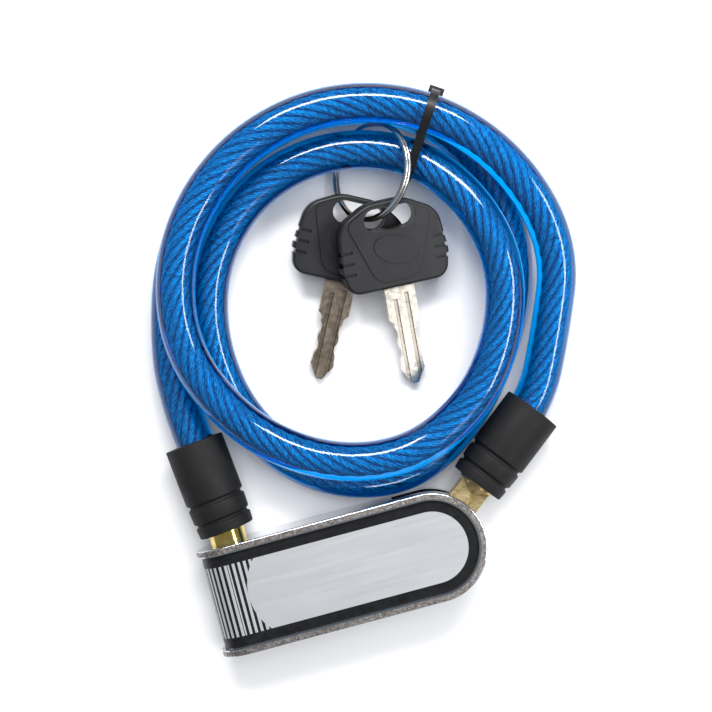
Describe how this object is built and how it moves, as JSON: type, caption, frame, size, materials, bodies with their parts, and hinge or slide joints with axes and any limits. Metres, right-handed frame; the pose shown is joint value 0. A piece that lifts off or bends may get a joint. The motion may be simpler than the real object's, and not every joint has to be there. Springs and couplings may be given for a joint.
{
  "type": "coiled cable lock",
  "caption": "Coiled 12 mm cable lock: keyed body with plug and swinging tongue, cable tie, split ring and two keys.",
  "frame": {"origin": "middle of the lock body's flat back face", "axes": "+Z out of the back through the label face, +Y from the body to the coil, +X toward the tongue"},
  "size_m": [0.1381, 0.1626, 0.0267],
  "materials": {
    "clear_blue_pvc": "glossy",
    "steel_rope": "satin",
    "chrome": "glossy",
    "printed_aluminium": "satin",
    "gold_zinc": "glossy",
    "yellow_passivated": "satin",
    "steel": "satin",
    "brass": "satin",
    "black_plastic": "matte",
    "black_nylon": "satin",
    "nickel": "glossy"
  },
  "bodies": {
    "coil": {"cable_jacket_1": "clear_blue_pvc", "cable_jacket_2": "clear_blue_pvc", "cable_jacket_3": "clear_blue_pvc", "cable_jacket_4": "clear_blue_pvc", "cable_jacket_5": "clear_blue_pvc", "cable_jacket_6": "clear_blue_pvc", "cable_core": "steel_rope", "cable_tie": "black_nylon", "plug": "gold_zinc", "plug_sleeve": "black_plastic"},
    "lock_body": {"body_shell": "chrome", "label_wrap": "printed_aluminium", "barrel": "brass", "barrel_pin": "steel", "spring_stop_screw": "steel", "tongue_pin": "steel", "tongue_washers": "brass"},
    "rotor": {"rotor": "brass", "wafer_springs_up": "steel", "wafer_springs_down": "steel"},
    "wafers_up": {"wafers_up": "brass"},
    "wafers_down": {"wafers_down": "brass"},
    "latch": {"latch_bolt": "steel", "latch_spring": "steel"},
    "tongue": {"tongue": "yellow_passivated", "tongue_sleeve": "black_plastic"},
    "ring": {"split_ring": "nickel"},
    "front_key": {"front_key_blade": "nickel", "front_key_head": "black_plastic"},
    "rear_key": {"rear_key_blade": "nickel", "rear_key_head": "black_plastic"}
  },
  "joints": [
    {"name": "plug_release", "type": "slide", "parent": "coil", "child": "lock_body", "axis": [0, -1, 0], "range_m": [0, 0.024], "deforming": ["cable_jacket_6", "cable_core"]},
    {"name": "key_turn", "type": "hinge", "parent": "lock_body", "child": "rotor", "pos_m": [-0.0155, -0.0164, 0.00925], "axis": [0, -1, 0], "range_deg": [0, 90]},
    {"name": "latch_slide", "type": "slide", "parent": "lock_body", "child": "latch", "axis": [-1, 0, 0], "range_m": [0, 0.00284], "deforming": ["latch_spring"]},
    {"name": "wafer_rise", "type": "slide", "parent": "rotor", "child": "wafers_up", "axis": [0, 0, 1], "range_m": [0, 0.0005], "deforming": ["wafer_springs_up"]},
    {"name": "wafer_drop", "type": "slide", "parent": "rotor", "child": "wafers_down", "axis": [0, 0, -1], "range_m": [0, 0.0005], "deforming": ["wafer_springs_down"]},
    {"name": "tongue_swing", "type": "hinge", "parent": "lock_body", "child": "tongue", "pos_m": [0.02635, 0, 0.00925], "axis": [0, 0, -1], "range_deg": [0, 30], "deforming": ["cable_jacket_6", "cable_core"]},
    {"name": "ring_swing", "type": "hinge", "parent": "coil", "child": "ring", "pos_m": [0.04055, 0.12282, 0.0111], "axis": [-0.9548, 0.2974, 0], "range_deg": [0, 20]},
    {"name": "front_key_swing", "type": "hinge", "parent": "ring", "child": "front_key", "pos_m": [0.03799, 0.10243, 0.01442], "axis": [0.1565, -0.2339, 0.9596], "range_deg": [0, 12]},
    {"name": "rear_key_swing", "type": "hinge", "parent": "ring", "child": "rear_key", "pos_m": [0.02997, 0.1055, 0.00805], "axis": [0.097, -0.1875, 0.9775], "range_deg": [-20, 0]}
  ],
  "couplings": [
    {"joint": "latch_slide", "follows": "key_turn", "m_per_rad": 0.0018006}
  ]
}
